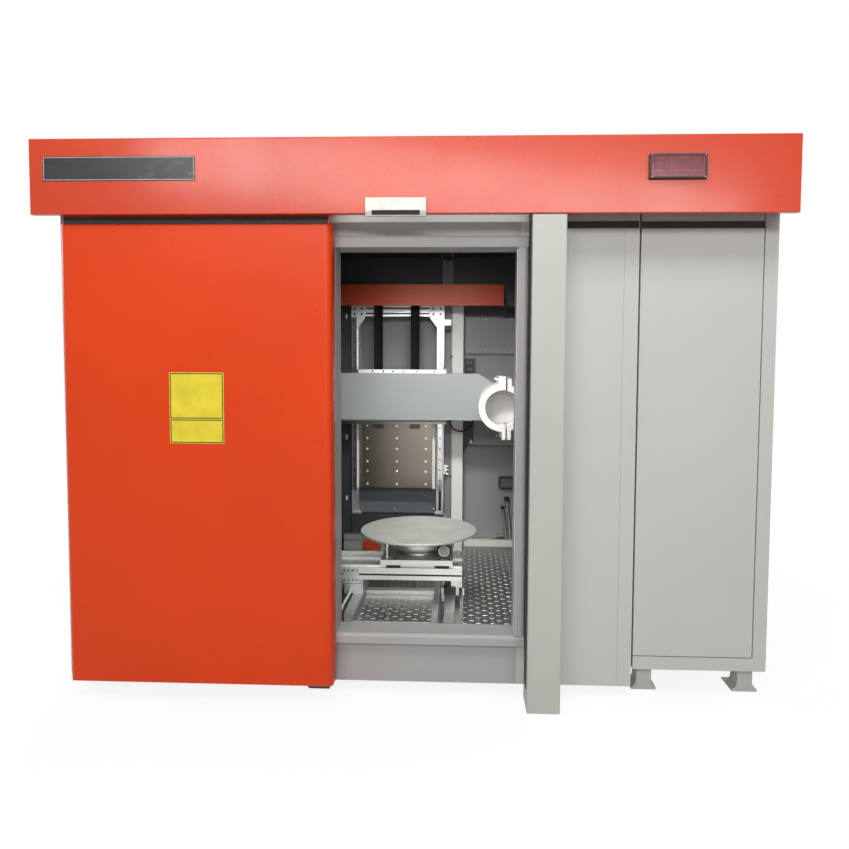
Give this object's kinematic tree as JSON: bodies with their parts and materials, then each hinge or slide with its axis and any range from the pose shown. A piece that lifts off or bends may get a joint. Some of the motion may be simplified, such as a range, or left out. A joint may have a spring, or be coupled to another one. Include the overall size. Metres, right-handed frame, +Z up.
{
  "type": "industrial x-ray inspection system",
  "caption": "Walk-up x-ray inspection cabinet with a powered sliding door, a turntable on a cross slide and a lifting beam that carries the x-ray tube and detector.",
  "frame": {"origin": "on the floor, at the middle of the machine's width and depth", "axes": "+X to the right seen from the door, +Y away from the door towards the back, +Z up"},
  "size_m": [2.73, 1.694, 2.08],
  "materials": {
    "orange_paint": "satin",
    "cabinet_paint": "satin",
    "frame_paint": "satin",
    "dark_paint": "satin",
    "ivory_paint": "satin",
    "beam_paint": "satin",
    "machined_steel": "brushed",
    "slotted_aluminium": "anodised",
    "table_aluminium": "matt",
    "black_rubber": "matt",
    "black_plastic": "matt",
    "ivory_plastic": "gloss",
    "red_window": "gloss",
    "motor_paint": "satin"
  },
  "bodies": {
    "cabinet": {"base_frame": "dark_paint", "levelling_feet": "machined_steel", "chamber_floor": "machined_steel", "side_walls": "cabinet_paint", "back_wall": "frame_paint", "roof": "cabinet_paint", "front_walls": "cabinet_paint", "door_wall_panels": "frame_paint", "frame_jambs": "frame_paint", "frame_rails": "frame_paint", "header_cover": "orange_paint", "door_track": "slotted_aluminium", "door_drive": "motor_paint", "door_belt": "black_rubber", "motion_sensor": "ivory_plastic", "sensor_lens": "black_plastic", "display_housing": "black_plastic", "display_window": "red_window", "closing_post": "cabinet_paint", "annex_shell": "cabinet_paint", "annex_panel": "cabinet_paint", "annex_feet": "cabinet_paint", "gantry_base": "dark_paint", "gantry_uprights": "slotted_aluminium", "gantry_top_beam": "slotted_aluminium", "gantry_brackets": "slotted_aluminium", "guide_rails": "machined_steel", "lift_drive_cover": "orange_paint", "lift_motor": "motor_paint", "lift_belts": "black_rubber", "service_column": "ivory_paint", "cable_trunk": "dark_paint", "wall_fittings": "black_plastic", "service_pipes": "machined_steel", "y_rails": "slotted_aluminium", "y_cross_members": "slotted_aluminium", "y_motor": "motor_paint", "rear_panel": "cabinet_paint"},
    "door": {"door_panel": "orange_paint", "door_hangers": "machined_steel"},
    "roller_left": {"hanger_roller_left": "ivory_plastic"},
    "roller_right": {"hanger_roller_right": "ivory_plastic"},
    "drive_pulley": {"drive_pulley": "machined_steel"},
    "idler_pulley": {"idler_pulley": "machined_steel"},
    "y_stage": {"x_beam": "slotted_aluminium", "y_slides": "slotted_aluminium", "x_motor": "motor_paint"},
    "x_stage": {"carriage_plate": "slotted_aluminium", "x_blocks": "motor_paint", "turntable_base": "machined_steel", "turntable_motor": "motor_paint"},
    "turntable": {"turntable_disc": "table_aluminium"},
    "y_screw": {"y_screw": "machined_steel"},
    "x_screw": {"x_screw": "machined_steel"},
    "lift": {"lift_carriage": "machined_steel", "c_beam": "beam_paint", "tube_clamp": "ivory_paint", "xray_tube": "frame_paint", "detector": "black_plastic"},
    "lift_shaft": {"lift_shaft": "machined_steel"}
  },
  "joints": [
    {"name": "door_slide", "type": "slide", "parent": "cabinet", "child": "door", "axis": [1, 0, 0], "range_m": [0, 0.715]},
    {"name": "roller_left_turn", "type": "hinge", "parent": "door", "child": "roller_left", "pos_m": [-1.131, -0.757, 1.8853], "axis": [0, 1, 0], "range_deg": [-5, 1375.5]},
    {"name": "roller_right_turn", "type": "hinge", "parent": "door", "child": "roller_right", "pos_m": [-0.431, -0.757, 1.8853], "axis": [0, 1, 0], "range_deg": [-5, 1375.5]},
    {"name": "drive_pulley_turn", "type": "hinge", "parent": "cabinet", "child": "drive_pulley", "pos_m": [0.592, -0.757, 2.015], "axis": [0, 1, 0], "range_deg": [-1384.7, 5]},
    {"name": "idler_pulley_turn", "type": "hinge", "parent": "cabinet", "child": "idler_pulley", "pos_m": [-1.264, -0.757, 2.015], "axis": [0, 1, 0], "range_deg": [-1384.7, 5]},
    {"name": "y_slide", "type": "slide", "parent": "cabinet", "child": "y_stage", "axis": [0, 1, 0], "range_m": [-0.06, 0.34]},
    {"name": "x_slide", "type": "slide", "parent": "y_stage", "child": "x_stage", "axis": [1, 0, 0], "range_m": [-0.4, 0]},
    {"name": "turntable_turn", "type": "hinge", "parent": "x_stage", "child": "turntable", "pos_m": [0.006, -0.222, 0.5], "axis": [0, 0, 1], "continuous": true},
    {"name": "y_screw_turn", "type": "hinge", "parent": "cabinet", "child": "y_screw", "pos_m": [-0.297, 0, 0.262], "axis": [0, 1, 0], "range_deg": [-1090, 6130]},
    {"name": "x_screw_turn", "type": "hinge", "parent": "y_stage", "child": "x_screw", "pos_m": [0, -0.222, 0.36], "axis": [1, 0, 0], "range_deg": [-7210, 10]},
    {"name": "lift_slide", "type": "slide", "parent": "cabinet", "child": "lift", "axis": [0, 0, 1], "range_m": [-0.38, 0.24], "deforming": ["lift_belts"]},
    {"name": "lift_shaft_turn", "type": "hinge", "parent": "cabinet", "child": "lift_shaft", "pos_m": [0, 0.47, 1.65], "axis": [1, 0, 0], "range_deg": [-684.1, 435.7]}
  ],
  "couplings": [
    {"joint": "roller_left_turn", "follows": "door_slide", "rad_per_m": 33.333},
    {"joint": "roller_right_turn", "follows": "door_slide", "rad_per_m": 33.333},
    {"joint": "drive_pulley_turn", "follows": "door_slide", "rad_per_m": -33.557},
    {"joint": "idler_pulley_turn", "follows": "door_slide", "rad_per_m": -33.557},
    {"joint": "y_screw_turn", "follows": "y_slide", "rad_per_m": 314.16},
    {"joint": "x_screw_turn", "follows": "x_slide", "rad_per_m": 314.16},
    {"joint": "lift_shaft_turn", "follows": "lift_slide", "rad_per_m": 30.96}
  ]
}
